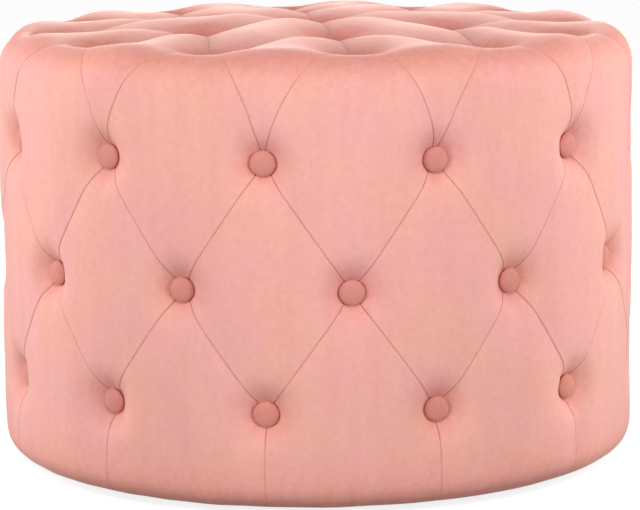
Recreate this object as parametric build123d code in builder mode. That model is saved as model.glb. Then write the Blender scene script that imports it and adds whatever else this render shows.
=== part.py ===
from build123d import *
import os
from collections import namedtuple
from math import atan2, comb, cos, degrees, hypot, pi, radians, sin, tan

import numpy as np

# A round floor pouf: a wooden drum padded with foam and fibre under one velvet cover,
# which buttons draw down into diamond tufts on the side and over the top.
# Millimetres, +Z up, the origin on the floor under the middle, the front towards -Y.
# Angles are degrees round from the front towards +X.

# Outside of the upholstery
pouf_diameter = 600.0
pouf_height = 409.0
rim_radius = 40.0
toe_radius = 22.0

# Tufting: each pair of tufts is one inner button, two outer ones and two in each side row.
# Rows are shares of the height, and the inner ring is a share of the outer one.
# The top is tufted a little further round than the side, by the top turn.
tuft_pairs = 6
tuft_angle = 5.9
top_turn = 2.0
lower_row_share = 0.220
middle_row_share = 0.481
upper_row_share = 0.756
outer_ring_inset = 57.0
inner_ring_share = 0.52
side_crease_depth = 2.5
top_crease_depth = 14.0
side_seat_depth = 16.0
top_seat_depth = 26.0
crease_reach = 46.0
crease_turn = 0.7
crease_fade = 60.0
rim_hold = 4
dimple_reach = 48.0
pad_degree = 6

# Soft layers
cover_thickness = 1.5
side_wadding = 18.5
top_wadding = 28.0
side_foam_thickness = 20.0
top_foam_thickness = 40.0
layer_gap = 0.3
glue_gap = 0.8
padding_lift = 6.0
hem_width = 32.0

# Wooden drum
wall_thickness = 3.0
wall_joint = 2.0
board_thickness = 15.0
upright_width = 40.0
upright_depth = 28.0
upright_inset = 7.0
upright_edge = 2.0
fit_gap = 0.2

# Underside
dust_cloth_thickness = 0.4
dust_cloth_inset = 22.0
glide_radius = 14.0
glide_height = 5.0
glide_edge = 1.5
glide_inset = 52.0
glide_screw_sink = 1.5

# Screws
screw_head_radius = 3.8
screw_head_angle = 90.0
screw_radius = 1.9
upright_screw_length = 50.0
glide_screw_length = 16.0
screw_gap = 0.1

# Buttons and the twine that holds them
button_radius = 11.5
button_height = 5.5
button_edge = 0.8
button_rim_lift = 2.7
button_back_radius = 5.0
button_lift = 1.1
shank_radius = 1.6
shank_length = 6.0
twine_radius = 1.0
tie_hole_radius = 2.2
washer_radius = 7.0
washer_thickness = 2.5
knot_radius = 2.5

# Sizes that follow from these
outer_radius = pouf_diameter / 2
floor_gap = glide_height + dust_cloth_thickness
base_bottom = floor_gap + cover_thickness
base_top = base_bottom + board_thickness
foam_radius = outer_radius - cover_thickness - side_wadding
wall_outer = foam_radius - side_foam_thickness
wall_inner = wall_outer - wall_thickness
board_radius = wall_inner - fit_gap
hem_radius = board_radius - hem_width
dust_cloth_radius = board_radius - dust_cloth_inset
glide_circle = board_radius - glide_inset
foam_top = pouf_height - cover_thickness - top_wadding
board_top = foam_top - top_foam_thickness
board_bottom = board_top - board_thickness
padding_bottom = base_bottom + padding_lift
lower_row_height = lower_row_share * pouf_height
middle_row_height = middle_row_share * pouf_height
upper_row_height = upper_row_share * pouf_height
outer_ring_radius = outer_radius - outer_ring_inset
inner_ring_radius = inner_ring_share * outer_ring_radius
pitch = 180 / tuft_pairs
upright_angle = tuft_angle - pitch / 4
upright_circle = wall_inner - upright_inset - upright_depth / 2
screw_hole_radius = screw_radius + screw_gap
countersink_radius = screw_head_radius + screw_gap

# The run is the way along the outside from the middle of the top, over the rim, to the bottom
rim_start = outer_radius - rim_radius
rim_end = rim_start + rim_radius * pi / 2
toe_start = rim_end + pouf_height - rim_radius - toe_radius - floor_gap
toe_end = toe_start + toe_radius * pi / 2

# A tuft is a corner of a pad: its run, its angle and how far a button draws it in
Tuft = namedtuple("Tuft", "run angle draw")


def profile(run):
    # Radius and height of the untufted outside at a run, and its outward direction
    if run <= rim_start:
        return run, pouf_height, 0.0, 1.0
    if run <= rim_end:
        turn = (run - rim_start) / rim_radius
        height = pouf_height - rim_radius * (1 - cos(turn))
        return rim_start + rim_radius * sin(turn), height, sin(turn), cos(turn)
    if run <= toe_start:
        return outer_radius, pouf_height - rim_radius - (run - rim_end), 1.0, 0.0
    turn = (run - toe_start) / toe_radius
    height = floor_gap + toe_radius * (1 - sin(turn))
    return outer_radius - toe_radius * (1 - cos(turn)), height, cos(turn), -sin(turn)


def side_run(height):
    return rim_end + pouf_height - rim_radius - height


def heading(angle):
    # Unit direction in plan
    return np.array([sin(radians(angle)), -cos(radians(angle))])


def surface_point(run, angle, depth):
    radius, height, out, up = profile(run)
    x, y = (radius - depth * out) * heading(angle)
    return np.array([x, y, height - depth * up])


def flattened(run, angle):
    # The outside unrolled on to the plane of the top
    return run * heading(angle)


def rolled(spot, near_angle):
    # Back from the flattened plan to a run and an angle
    angle = degrees(atan2(spot[0], -spot[1]))
    return hypot(*spot), angle + 360 * round((near_angle - angle) / 360)


def crease_at(start, end, share):
    # A crease runs straight from button to button, in plan on the top and by angle on the side.
    # Over the rim it leaves the side button steeply and turns more the higher it gets.
    if max(start.run, end.run) <= rim_start:
        plan = (1 - share) * flattened(*start[:2]) + share * flattened(*end[:2])
        return rolled(plan, start.angle if start.run else end.angle)
    late = crease_turn if end.run < rim_start else 0
    turned = (1 - late) * share + late * share**2
    return (
        (1 - share) * start.run + share * end.run,
        (1 - turned) * start.angle + turned * end.angle,
    )


def pad_face(corners, sewn, inset):
    # One pad between four corners, as a patch that passes through its own points.
    # The sewn sides are drawn down to creases and the corners down to their buttons.
    a, b, c, d = corners
    in_plan = min(corner.run for corner in corners) <= inner_ring_radius
    middle_angle = sum(corner.angle for corner in corners) / len(corners)

    def chart(run, angle, *_):
        return flattened(run, angle) if in_plan else np.array([run, angle])

    def pad_point(u, v):
        sides = crease_at(a, b, u), crease_at(b, c, v), crease_at(d, c, u), crease_at(a, d, v)
        ab, bc, dc, ad = (chart(*side) for side in sides)
        spot = (1 - v) * ab + u * bc + v * dc + (1 - u) * ad
        spot = spot - (1 - u) * (1 - v) * chart(*a) - u * (1 - v) * chart(*b)
        spot = spot - u * v * chart(*c) - (1 - u) * v * chart(*d)
        run, angle = rolled(spot, middle_angle) if in_plan else spot
        here = surface_point(run, angle, 0)
        fullness = 1.0
        for is_sewn, side in zip(sewn, sides):
            if is_sewn:
                away = np.linalg.norm(here - surface_point(*side, 0))
                fullness *= 1 - max(0.0, 1 - away / crease_reach) ** 2
        over_rim = min(1.0, max(0.0, (rim_end - run) / (rim_end - outer_ring_radius - button_radius)))
        crease = side_crease_depth + (top_crease_depth - side_crease_depth) * over_rim**rim_hold
        draw = 0.0
        for corner in corners:
            away = np.linalg.norm(here - surface_point(corner.run, corner.angle, 0))
            pull = max(0.0, 1 - (away / dimple_reach) ** 2) ** 2
            draw += corner.draw * pull
            if corner.draw:
                fullness *= 1 - pull
        depth = draw + crease * (1 - fullness) * min(1.0, (toe_end - run) / crease_fade)
        return surface_point(run, angle, depth + inset)

    shares = [(1 - cos(pi * k / pad_degree)) / 2 for k in range(pad_degree + 1)]
    powers = range(pad_degree + 1)
    blend = [[comb(pad_degree, k) * t**k * (1 - t) ** (pad_degree - k) for k in powers] for t in shares]
    unblend = np.linalg.inv(np.array(blend))
    through = np.array([[pad_point(u, v) for v in shares] for u in shares])
    poles = np.einsum("ik,klm,jl->ijm", unblend, through, unblend)
    return Face.make_bezier_surface([[tuple(pole) for pole in row] for row in poles.tolist()])


def tufted_form(inset):
    # The tufted outside as a closed solid, drawn in everywhere by the inset
    side_draw = side_seat_depth - side_crease_depth
    top_draw = top_seat_depth - top_crease_depth
    upper, middle, lower = (
        side_run(height) for height in (upper_row_height, middle_row_height, lower_row_height)
    )
    faces = []
    for k in range(2 * tuft_pairs):
        angle = tuft_angle + k * pitch
        before, after, onward = angle - pitch / 2, angle + pitch / 2, angle + pitch
        top_here, top_next = angle + top_turn, onward + top_turn
        middle_here = Tuft(middle, angle, side_draw)
        middle_next = Tuft(middle, onward, side_draw)
        upper_before, upper_after = (Tuft(upper, turn, side_draw) for turn in (before, after))
        lower_before, lower_after = (Tuft(lower, turn, side_draw) for turn in (before, after))
        ring_here = Tuft(outer_ring_radius, top_here, top_draw)
        ring_next = Tuft(outer_ring_radius, top_next, top_draw)
        hub_here = Tuft(inner_ring_radius, top_here if k % 2 == 0 else top_next, top_draw)
        toe_before, toe_here, toe_after = (Tuft(toe_end, turn, 0) for turn in (before, angle, after))
        all_round = (True, True, True, True)
        faces += [
            pad_face((lower_after, middle_next, upper_after, middle_here), all_round, inset),
            pad_face((middle_here, upper_after, ring_here, upper_before), all_round, inset),
            pad_face((upper_after, ring_next, hub_here, ring_here), all_round, inset),
            pad_face((middle_here, lower_before, toe_before, toe_here), (True, True, False, False), inset),
            pad_face((middle_here, toe_here, toe_after, lower_after), (False, False, True, True), inset),
        ]
        if k % 2 == 0:
            hub_next = Tuft(inner_ring_radius, top_next + pitch, top_draw)
            centre = Tuft(0.0, top_next, top_draw)
            faces.append(pad_face((ring_next, hub_next, centre, hub_here), all_round, inset))
    bottom = floor_gap + inset
    bottom_edges = [
        edge for face in faces for edge in face.edges() if abs(edge.center().Z - bottom) < layer_gap / 100
    ]
    faces.append(Face(Wire.combine(bottom_edges)[0]))
    return Solid(Shell(faces))


def side_place(height, angle):
    # A plane on the untufted side, facing outwards
    x, y = outer_radius * heading(angle)
    return Plane(origin=(x, y, height), x_dir=(0, 0, 1), z_dir=(x, y, 0))


def top_place(radius, angle):
    x, y = radius * heading(angle)
    return Plane(origin=(x, y, pouf_height))


def upright_plane(height, k, facing=1):
    # On an upright's centre line, with X outwards from the middle of the pouf
    x, y = upright_circle * heading(upright_angle + 360 * k / tuft_pairs)
    return Plane(origin=(x, y, height), x_dir=(x, y, 0), z_dir=(0, 0, facing))


def save(piece, name):
    piece.part.label = name
    export_step(piece.part, f"parts/{name}.step")


os.makedirs("parts", exist_ok=True)
row_angles = [tuft_angle + k * pitch for k in range(2 * tuft_pairs)]
side_rows = {
    "upper_side": [side_place(upper_row_height, angle + pitch / 2) for angle in row_angles],
    "middle_side": [side_place(middle_row_height, angle) for angle in row_angles],
    "lower_side": [side_place(lower_row_height, angle + pitch / 2) for angle in row_angles],
}
top_rings = {
    "outer_top": [top_place(outer_ring_radius, angle + top_turn) for angle in row_angles],
    "inner_top": [top_place(inner_ring_radius, angle + top_turn) for angle in row_angles[::2]],
    "centre_top": [top_place(0, 0)],
}
side_ties = [plane for row in side_rows.values() for plane in row]
top_ties = [plane for ring in top_rings.values() for plane in ring]
tie_cut_length = 2 * (max(outer_radius - wall_inner, pouf_height - board_bottom) + washer_radius)

# Velvet cover, turned under the base as a hem
with BuildPart() as velvet_cover:
    add(tufted_form(0))
    add(tufted_form(cover_thickness), mode=Mode.SUBTRACT)
    with Locations((0, 0, floor_gap)):
        Cylinder(hem_radius, 2 * cover_thickness, mode=Mode.SUBTRACT)
    with Locations(*(side_ties + top_ties)):
        Cylinder(tie_hole_radius, tie_cut_length, mode=Mode.SUBTRACT)
save(velvet_cover, "velvet_cover")

# Fibre wadding that fills out the pads
with BuildPart() as fibre_wadding:
    add(tufted_form(cover_thickness + layer_gap))
    with BuildSketch(Plane.XY) as foam_space:
        Circle(foam_radius + layer_gap)
    extrude(amount=foam_top + layer_gap, mode=Mode.SUBTRACT)
    with BuildSketch(Plane.XY) as below_padding:
        Circle(pouf_diameter)
    extrude(amount=padding_bottom, mode=Mode.SUBTRACT)
    with Locations(*(side_ties + top_ties)):
        Cylinder(tie_hole_radius, tie_cut_length, mode=Mode.SUBTRACT)
save(fibre_wadding, "fibre_wadding")

# Foam round the side and on the top
with BuildPart() as side_foam:
    with BuildSketch(Plane.XY.offset(padding_bottom)) as foam_ring:
        Circle(foam_radius)
        Circle(wall_outer + glue_gap, mode=Mode.SUBTRACT)
    extrude(amount=board_top - padding_bottom)
    with Locations(*side_ties):
        Cylinder(tie_hole_radius, tie_cut_length, mode=Mode.SUBTRACT)
save(side_foam, "side_foam")

with BuildPart() as top_foam:
    with BuildSketch(Plane.XY.offset(board_top)) as foam_disc:
        Circle(foam_radius)
    extrude(amount=top_foam_thickness)
    with Locations(*top_ties):
        Cylinder(tie_hole_radius, tie_cut_length, mode=Mode.SUBTRACT)
save(top_foam, "top_foam")

# Hardboard wall bent round the boards, its joint over an upright at the back
with BuildPart() as side_wall:
    with BuildSketch(Plane.XY.offset(base_bottom)) as wall_ring:
        Circle(wall_outer)
        Circle(wall_inner, mode=Mode.SUBTRACT)
        joint_angle = upright_angle + 360 * (tuft_pairs // 2) / tuft_pairs
        with Locations(Location(wall_outer * Vector(*heading(joint_angle)), joint_angle)):
            Rectangle(wall_joint, 4 * wall_thickness, mode=Mode.SUBTRACT)
    extrude(amount=board_top - base_bottom)
    with Locations(*side_ties):
        Cylinder(tie_hole_radius, tie_cut_length, mode=Mode.SUBTRACT)
save(side_wall, "side_wall")

# Plywood boards
screw_places_below = [upright_plane(base_bottom, k, facing=-1) for k in range(tuft_pairs)]
screw_places_above = [upright_plane(board_top, k) for k in range(tuft_pairs)]
glide_places = []
for k in range(tuft_pairs):
    x, y = glide_circle * heading(upright_angle + 360 * k / tuft_pairs)
    glide_places.append(Plane(origin=(x, y, 0), z_dir=(0, 0, -1)))

with BuildPart() as base_board:
    with BuildSketch(Plane.XY.offset(base_bottom)) as base_outline:
        Circle(board_radius)
    extrude(amount=board_thickness)
    with Locations(*screw_places_below):
        CounterSinkHole(screw_hole_radius, countersink_radius, board_thickness, screw_head_angle)
    with Locations(*glide_places):
        Cylinder(screw_hole_radius, 2 * (glide_screw_length + glide_height), mode=Mode.SUBTRACT)
save(base_board, "base_board")

with BuildPart() as top_board:
    with BuildSketch(Plane.XY.offset(board_bottom)) as top_outline:
        Circle(board_radius)
    extrude(amount=board_thickness)
    with Locations(*screw_places_above):
        CounterSinkHole(screw_hole_radius, countersink_radius, board_thickness, screw_head_angle)
    with Locations(*top_ties):
        Cylinder(tie_hole_radius, tie_cut_length, mode=Mode.SUBTRACT)
save(top_board, "top_board")

# Pine uprights between the boards
screw_bite = upright_screw_length - board_thickness
for k in range(tuft_pairs):
    with BuildPart() as upright:
        with BuildSketch(upright_plane(base_top, k)) as upright_section:
            Rectangle(upright_depth, upright_width)
            fillet(upright_section.vertices(), upright_edge)
        extrude(amount=board_bottom - base_top)
        for end in upright.faces().sort_by(Axis.Z)[0], upright.faces().sort_by(Axis.Z)[-1]:
            with Locations(Plane(end)):
                Hole(screw_hole_radius, screw_bite + fit_gap)
    save(upright, f"upright_{k + 1}")


def wood_screw(length):
    # A countersunk screw along -Z with the top of its head at the origin
    head_height = (screw_head_radius - screw_radius) / tan(radians(screw_head_angle / 2))
    with BuildPart() as screw:
        with BuildSketch(Plane.XZ) as half_section:
            with BuildLine():
                Polyline(
                    (0, 0),
                    (screw_head_radius, 0),
                    (screw_radius, -head_height),
                    (screw_radius, screw_radius - length),
                    (0, -length),
                    close=True,
                )
            make_face()
        revolve(axis=Axis.Z)
    return screw.part


upright_screw = wood_screw(upright_screw_length)
with BuildPart() as base_board_screws:
    with Locations(*screw_places_below):
        add(upright_screw)
save(base_board_screws, "base_board_screws")

with BuildPart() as top_board_screws:
    with Locations(*screw_places_above):
        add(upright_screw)
save(top_board_screws, "top_board_screws")

# Dust cloth across the underside
with BuildPart() as dust_cloth:
    with BuildSketch(Plane.XY.offset(glide_height)) as cloth_disc:
        Circle(dust_cloth_radius)
    extrude(amount=dust_cloth_thickness)
    with Locations(*glide_places):
        Cylinder(screw_hole_radius, 4 * glide_height, mode=Mode.SUBTRACT)
save(dust_cloth, "dust_cloth")

# Plastic glides that carry the pouf on the floor, each under an upright
for k, place in enumerate(glide_places):
    with BuildPart() as glide:
        with BuildSketch(Plane(place.origin)) as glide_disc:
            Circle(glide_radius)
        extrude(amount=glide_height)
        fillet(glide.edges().filter_by(GeomType.CIRCLE).sort_by(Axis.Z)[0], glide_edge)
        with Locations(place.offset(-glide_screw_sink)):
            CounterSinkHole(screw_hole_radius, countersink_radius, glide_height, screw_head_angle)
    save(glide, f"glide_{k + 1}")

glide_screw = wood_screw(glide_screw_length)
with BuildPart() as glide_screws:
    with Locations(*(place.offset(-glide_screw_sink) for place in glide_places)):
        add(glide_screw)
save(glide_screws, "glide_screws")


def button_cap(seat_depth):
    # A domed, cloth-covered cap whose slanted back clears the fabric that rises round it
    back = button_lift - seat_depth
    edge = back + button_rim_lift
    with BuildPart() as cap:
        with BuildSketch(Plane.XZ) as half_section:
            with BuildLine():
                Polyline(
                    (0, back + button_height),
                    (0, back),
                    (button_back_radius, back),
                    (button_radius, edge),
                    (button_radius, edge + button_edge),
                )
                TangentArc(
                    (0, back + button_height), (button_radius, edge + button_edge), tangent=(1, 0)
                )
            make_face()
        revolve(axis=Axis.Z)
    return cap.part


def button_shank(seat_depth):
    # The stem on a button's back, down through the cover
    back = button_lift - seat_depth
    with BuildPart(Plane.XY.offset(back)) as shank:
        Cylinder(shank_radius, shank_length, align=(Align.CENTER, Align.CENTER, Align.MAX))
    return shank.part


def tie_twine(seat_depth, washer_depth):
    # Twine from the shank to a knot behind its washer
    start = button_lift - seat_depth - shank_length
    knot = -washer_depth - washer_thickness - knot_radius
    with BuildPart() as twine:
        with Locations((0, 0, start)):
            Cylinder(twine_radius, start - knot, align=(Align.CENTER, Align.CENTER, Align.MAX))
        with Locations((0, 0, knot)):
            Sphere(knot_radius)
    return twine.part


def tie_washer(washer_depth):
    with BuildPart(Plane.XY.offset(-washer_depth)) as washer:
        Cylinder(washer_radius, washer_thickness, align=(Align.CENTER, Align.CENTER, Align.MAX))
        Cylinder(twine_radius + fit_gap, 4 * washer_thickness, mode=Mode.SUBTRACT)
    return washer.part


# Buttons with their shanks, twine and washers, ring by ring
side_washer_depth = outer_radius - wall_inner + layer_gap
top_washer_depth = pouf_height - board_bottom
for rings, seat_depth, washer_depth in (
    (side_rows, side_seat_depth, side_washer_depth),
    (top_rings, top_seat_depth, top_washer_depth),
):
    shapes = {
        "buttons": button_cap(seat_depth),
        "button_shanks": button_shank(seat_depth),
        "button_twine": tie_twine(seat_depth, washer_depth),
        "tie_washers": tie_washer(washer_depth),
    }
    for ring, planes in rings.items():
        for kind, shape in shapes.items():
            with BuildPart() as fittings:
                with Locations(*planes):
                    add(shape)
            save(fittings, f"{ring}_{kind}")
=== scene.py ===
import math

import bmesh
import bpy
import numpy as np
from mathutils import Matrix, Vector, kdtree


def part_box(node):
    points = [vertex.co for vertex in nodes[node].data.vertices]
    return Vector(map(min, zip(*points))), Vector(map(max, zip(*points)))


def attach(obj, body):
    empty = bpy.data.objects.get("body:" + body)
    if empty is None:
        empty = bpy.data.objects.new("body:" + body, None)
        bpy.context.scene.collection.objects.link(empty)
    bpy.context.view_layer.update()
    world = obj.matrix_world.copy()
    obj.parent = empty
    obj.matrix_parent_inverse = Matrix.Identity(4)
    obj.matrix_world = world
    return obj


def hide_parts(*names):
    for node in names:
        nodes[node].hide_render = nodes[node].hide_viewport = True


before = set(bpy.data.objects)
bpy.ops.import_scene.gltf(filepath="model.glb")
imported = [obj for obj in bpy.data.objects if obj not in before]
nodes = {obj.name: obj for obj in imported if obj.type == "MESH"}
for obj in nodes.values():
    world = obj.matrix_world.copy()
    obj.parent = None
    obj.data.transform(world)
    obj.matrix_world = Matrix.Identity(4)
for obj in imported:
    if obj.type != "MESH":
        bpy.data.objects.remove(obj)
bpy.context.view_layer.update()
scene = bpy.context.scene
scene.view_settings.view_transform = "Standard"
print("frame loaded:", len(nodes), "nodes")


def mm(value):
    return value / 1000.0


def linear(hexColour):
    parts = [int(hexColour[i:i + 2], 16) / 255 for i in (1, 3, 5)]
    return tuple(p / 12.92 if p <= 0.04045 else ((p + 0.055) / 1.055) ** 2.4 for p in parts) + (1.0,)


# adds a node with its settings, then sets or links its inputs by name or number
def addNode(tree, kind, settings, inputs):
    node = tree.nodes.new(kind)
    for key, value in settings.items():
        setattr(node, key, value)
    for key, value in inputs.items():
        if isinstance(value, bpy.types.NodeSocket):
            tree.links.new(value, node.inputs[key])
        else:
            node.inputs[key].default_value = value
    return node


def newMaterial(name):
    material = bpy.data.materials.new(name)
    material.use_nodes = True
    material.node_tree.nodes.clear()
    return material, material.node_tree


def addObject(name, mesh):
    obj = bpy.data.objects.new(name, mesh)
    scene.collection.objects.link(obj)
    return obj


def dress(obj, material):
    obj.data.materials.clear()
    obj.data.materials.append(material)


# cut velvet: a short dense pile, matt face on and paler where it is seen edge on;
# the pile lies unevenly, so it shows soft patches and streaks
velvetFinish = {
    # the colour after blush is painted shade for dimples, hollows, the rim and the toe; the crease colour
    # is painted shade along the creases
    "face": "#F7B8A9", "blush": "#F6B5B0", "paintedShade": "#DC7D69", "crease": "#9A5A50", "bloom": "#FFDDD3",
    "patch": mm(60), "patchDetail": 2.0, "patchRoughness": 0.5,  # patches of face and blush
    "patchEdges": (0.38, 0.62),                   # how softly they meet
    "combing": 0.12,                              # scale along z, which draws the streaks out
    "figures": {                                  # size, detail, roughness, least and most darkening
        "mottle": (mm(6), 3.0, 0.65, -0.04, 0.14),
        "streak": (mm(16), 3.0, 0.6, 0.0, 0.12),
        "pile": (mm(1.1), 2.0, 0.7, -0.05, 0.09),  # drawn coarser than it is, to show
    },
    "figureEdges": (0.3, 0.7),
    "paintedShadeShare": 0.65,                              # how far the painted shade takes the colour toward the shade colour
    "bumpStrength": 0.3, "bumpDepth": mm(0.35),
    "roughness": 0.9, "specular": 0.15, "sheen": 0.5, "sheenRoughness": 0.38,
}
# the buttons: the same velvet coloured darker, painted shade
buttonFinish = {**velvetFinish, "face": "#DF9585", "blush": "#DD938A", "paintedShade": "#BB7264"}


def velvetMaterial(name, finish):
    material, tree = newMaterial(name)
    place = addNode(tree, "ShaderNodeTexCoord", {}, {}).outputs["Object"]
    combed = addNode(
        tree, "ShaderNodeMapping", {}, {"Vector": place, "Scale": (1, 1, finish["combing"])}
    ).outputs[0]
    patch = addNode(
        tree, "ShaderNodeTexNoise", {},
        {
            "Vector": place, "Scale": 1 / finish["patch"],
            "Detail": finish["patchDetail"], "Roughness": finish["patchRoughness"],
        },
    )
    low, high = finish["patchEdges"]
    hue = addNode(
        tree, "ShaderNodeMapRange", {}, {0: patch.outputs["Fac"], 1: low, 2: high, 3: 0.0, 4: 1.0}
    )
    tint = addNode(
        tree, "ShaderNodeMix", {"data_type": "RGBA"},
        {0: hue.outputs[0], 6: linear(finish["face"]), 7: linear(finish["blush"])},
    )
    noises, shades = {}, []
    low, high = finish["figureEdges"]
    for figure, (size, detail, roughness, least, most) in finish["figures"].items():
        noises[figure] = addNode(
            tree, "ShaderNodeTexNoise", {},
            {
                "Vector": combed if figure == "streak" else place,
                "Scale": 1 / size, "Detail": detail, "Roughness": roughness,
            },
        )
        shades.append(addNode(
            tree, "ShaderNodeMapRange", {},
            {0: noises[figure].outputs["Fac"], 1: low, 2: high, 3: least, 4: most},
        ))
    uneven = shades[0]
    for shade in shades[1:]:
        uneven = addNode(
            tree, "ShaderNodeMath", {"operation": "ADD"}, {0: uneven.outputs[0], 1: shade.outputs[0]}
        )
    # painted shade in dimples, hollows, on a band of the rim and at the toe, added to the velvet's own
    # uneven tone
    dimpleAndShade = addNode(tree, "ShaderNodeAttribute", {"attribute_name": "dimpleAndShade"}, {})
    depth = addNode(
        tree, "ShaderNodeMath", {"operation": "MULTIPLY_ADD"},
        {0: dimpleAndShade.outputs["Fac"], 1: finish["paintedShadeShare"], 2: uneven.outputs[0]},
    )
    colour = addNode(
        tree, "ShaderNodeMix", {"data_type": "RGBA"},
        {0: depth.outputs[0], 6: tint.outputs[2], 7: linear(finish["paintedShade"])},
    )
    # painted shade along the creases
    crease = addNode(tree, "ShaderNodeAttribute", {"attribute_name": "crease"}, {})
    creaseShadedColour = addNode(
        tree, "ShaderNodeMix", {"data_type": "RGBA"},
        {0: crease.outputs["Fac"], 6: colour.outputs[2], 7: linear(finish["crease"])},
    )
    bump = addNode(
        tree, "ShaderNodeBump", {},
        {
            "Strength": finish["bumpStrength"], "Distance": finish["bumpDepth"],
            "Height": noises["pile"].outputs["Fac"],
        },
    )
    shader = addNode(
        tree, "ShaderNodeBsdfPrincipled", {},
        {
            "Base Color": creaseShadedColour.outputs[2], "Normal": bump.outputs[0], "Roughness": finish["roughness"],
            "Specular IOR Level": finish["specular"], "Sheen Weight": finish["sheen"],
            "Sheen Roughness": finish["sheenRoughness"], "Sheen Tint": linear(finish["bloom"]),
        },
    )
    addNode(tree, "ShaderNodeOutputMaterial", {}, {"Surface": shader.outputs[0]})
    return material


velvet = velvetMaterial("cutVelvet", velvetFinish)
buttonVelvet = velvetMaterial("buttonVelvet", buttonFinish)

figuring = {  # what the figure of every plain finish shares
    "detail": 4.0, "roughness": 0.6, "distortion": 0.4, "edges": (0.3, 0.7),
    "glossChange": 0.06, "bumpStrength": 0.5,
}


# a plain material with a fine irregular figure of the given size in mm along x, y and z
def figuredMaterial(name, light, dark, figure, roughness, bumpDepth, sockets):
    material, tree = newMaterial(name)
    place = addNode(tree, "ShaderNodeTexCoord", {}, {}).outputs["Object"]
    sized = addNode(
        tree, "ShaderNodeMapping", {}, {"Vector": place, "Scale": tuple(1 / mm(size) for size in figure)}
    )
    noise = addNode(
        tree, "ShaderNodeTexNoise", {},
        {
            "Vector": sized.outputs[0], "Scale": 1.0, "Detail": figuring["detail"],
            "Roughness": figuring["roughness"], "Distortion": figuring["distortion"],
        },
    )
    low, high = figuring["edges"]
    share = addNode(
        tree, "ShaderNodeMapRange", {}, {0: noise.outputs["Fac"], 1: low, 2: high, 3: 0.0, 4: 1.0}
    )
    colour = addNode(
        tree, "ShaderNodeMix", {"data_type": "RGBA"},
        {0: share.outputs[0], 6: linear(light), 7: linear(dark)},
    )
    smooth, rough = roughness - figuring["glossChange"], roughness + figuring["glossChange"]
    gloss = addNode(
        tree, "ShaderNodeMapRange", {}, {0: noise.outputs["Fac"], 1: low, 2: high, 3: smooth, 4: rough}
    )
    bump = addNode(
        tree, "ShaderNodeBump", {},
        {
            "Strength": figuring["bumpStrength"], "Distance": mm(bumpDepth),
            "Height": noise.outputs["Fac"],
        },
    )
    shader = addNode(
        tree, "ShaderNodeBsdfPrincipled", {},
        {
            "Base Color": colour.outputs[2], "Roughness": gloss.outputs[0],
            "Normal": bump.outputs[0], **sockets,
        },
    )
    addNode(tree, "ShaderNodeOutputMaterial", {}, {"Surface": shader.outputs[0]})
    return material


# needled polyester: white, matt and tangled
fibre = figuredMaterial(
    "polyesterFibre", "#F6F5F0", "#DAD9D2", (3, 3, 3), 0.95, 1.0, {"Sheen Weight": 0.3}
)
# open-cell upholstery foam: cream, with cells of about a millimetre
foam = figuredMaterial("polyurethaneFoam", "#F1E5BE", "#D6C592", (1.2, 1.2, 1.2), 0.95, 0.5, {})
# pressed wood fibre: brown, smooth, finely flecked
hardboard = figuredMaterial("hardboard", "#8A6445", "#654530", (2, 2, 5), 0.6, 0.05, {})
# rotary-cut poplar face: long flat figure along x, plies showing on the edge
plywood = figuredMaterial("poplarPlywood", "#DDBE8E", "#B98F5D", (120, 9, 2.5), 0.65, 0.1, {})
# planed pine: straight grain up the stick
pine = figuredMaterial("planedPine", "#E6C896", "#C49A5E", (5, 5, 150), 0.6, 0.1, {})
# spunbond polypropylene: black and dull, with a pressed speckle
spunbond = figuredMaterial(
    "spunbondCloth", "#1C1C1D", "#08080A", (1.6, 1.6, 1.6), 0.85, 0.2, {"Sheen Weight": 0.15}
)
# moulded polypropylene: black, satin, very fine spark texture
glidePlastic = figuredMaterial(
    "mouldedPolypropylene", "#201F1E", "#151414", (0.8, 0.8, 0.8), 0.42, 0.03, {}
)
# natural nylon: ivory and waxy
nylon = figuredMaterial("naturalNylon", "#ECE8DD", "#DAD5C6", (4, 4, 4), 0.4, 0.05, {"IOR": 1.53})
# waxed flax twine: fibres laid along it
twine = figuredMaterial("waxedTwine", "#DCCFB4", "#A8967A", (0.6, 0.6, 2), 0.6, 0.2, {})
# zinc-plated steel: bright, slightly yellow, finely clouded
zinc = figuredMaterial(
    "zincPlatedSteel", "#C9C5B8", "#A5A093", (1.5, 1.5, 1.5), 0.34, 0.02, {"Metallic": 1.0}
)

plainFinishes = {  # a node takes the first finish whose word is in its name
    "foam": foam, "side_wall": hardboard, "board_screws": zinc, "board": plywood, "upright": pine,
    "glide_screws": zinc, "glide": glidePlastic, "shanks": nylon, "washers": nylon, "twine": twine,
}
for name, obj in nodes.items():
    for word, finish in plainFinishes.items():
        if word in name:
            dress(obj, finish)
            break
print("finishes made:", len(bpy.data.materials))


def vertexPoints(mesh):
    points = np.zeros(len(mesh.vertices) * 3)
    mesh.vertices.foreach_get("co", points)
    return points.reshape(-1, 3)


buttonGap = 5        # degrees of turn that part two buttons of a ring
axisReach = mm(5)    # a ring this near the axis is the one button in the middle


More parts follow.
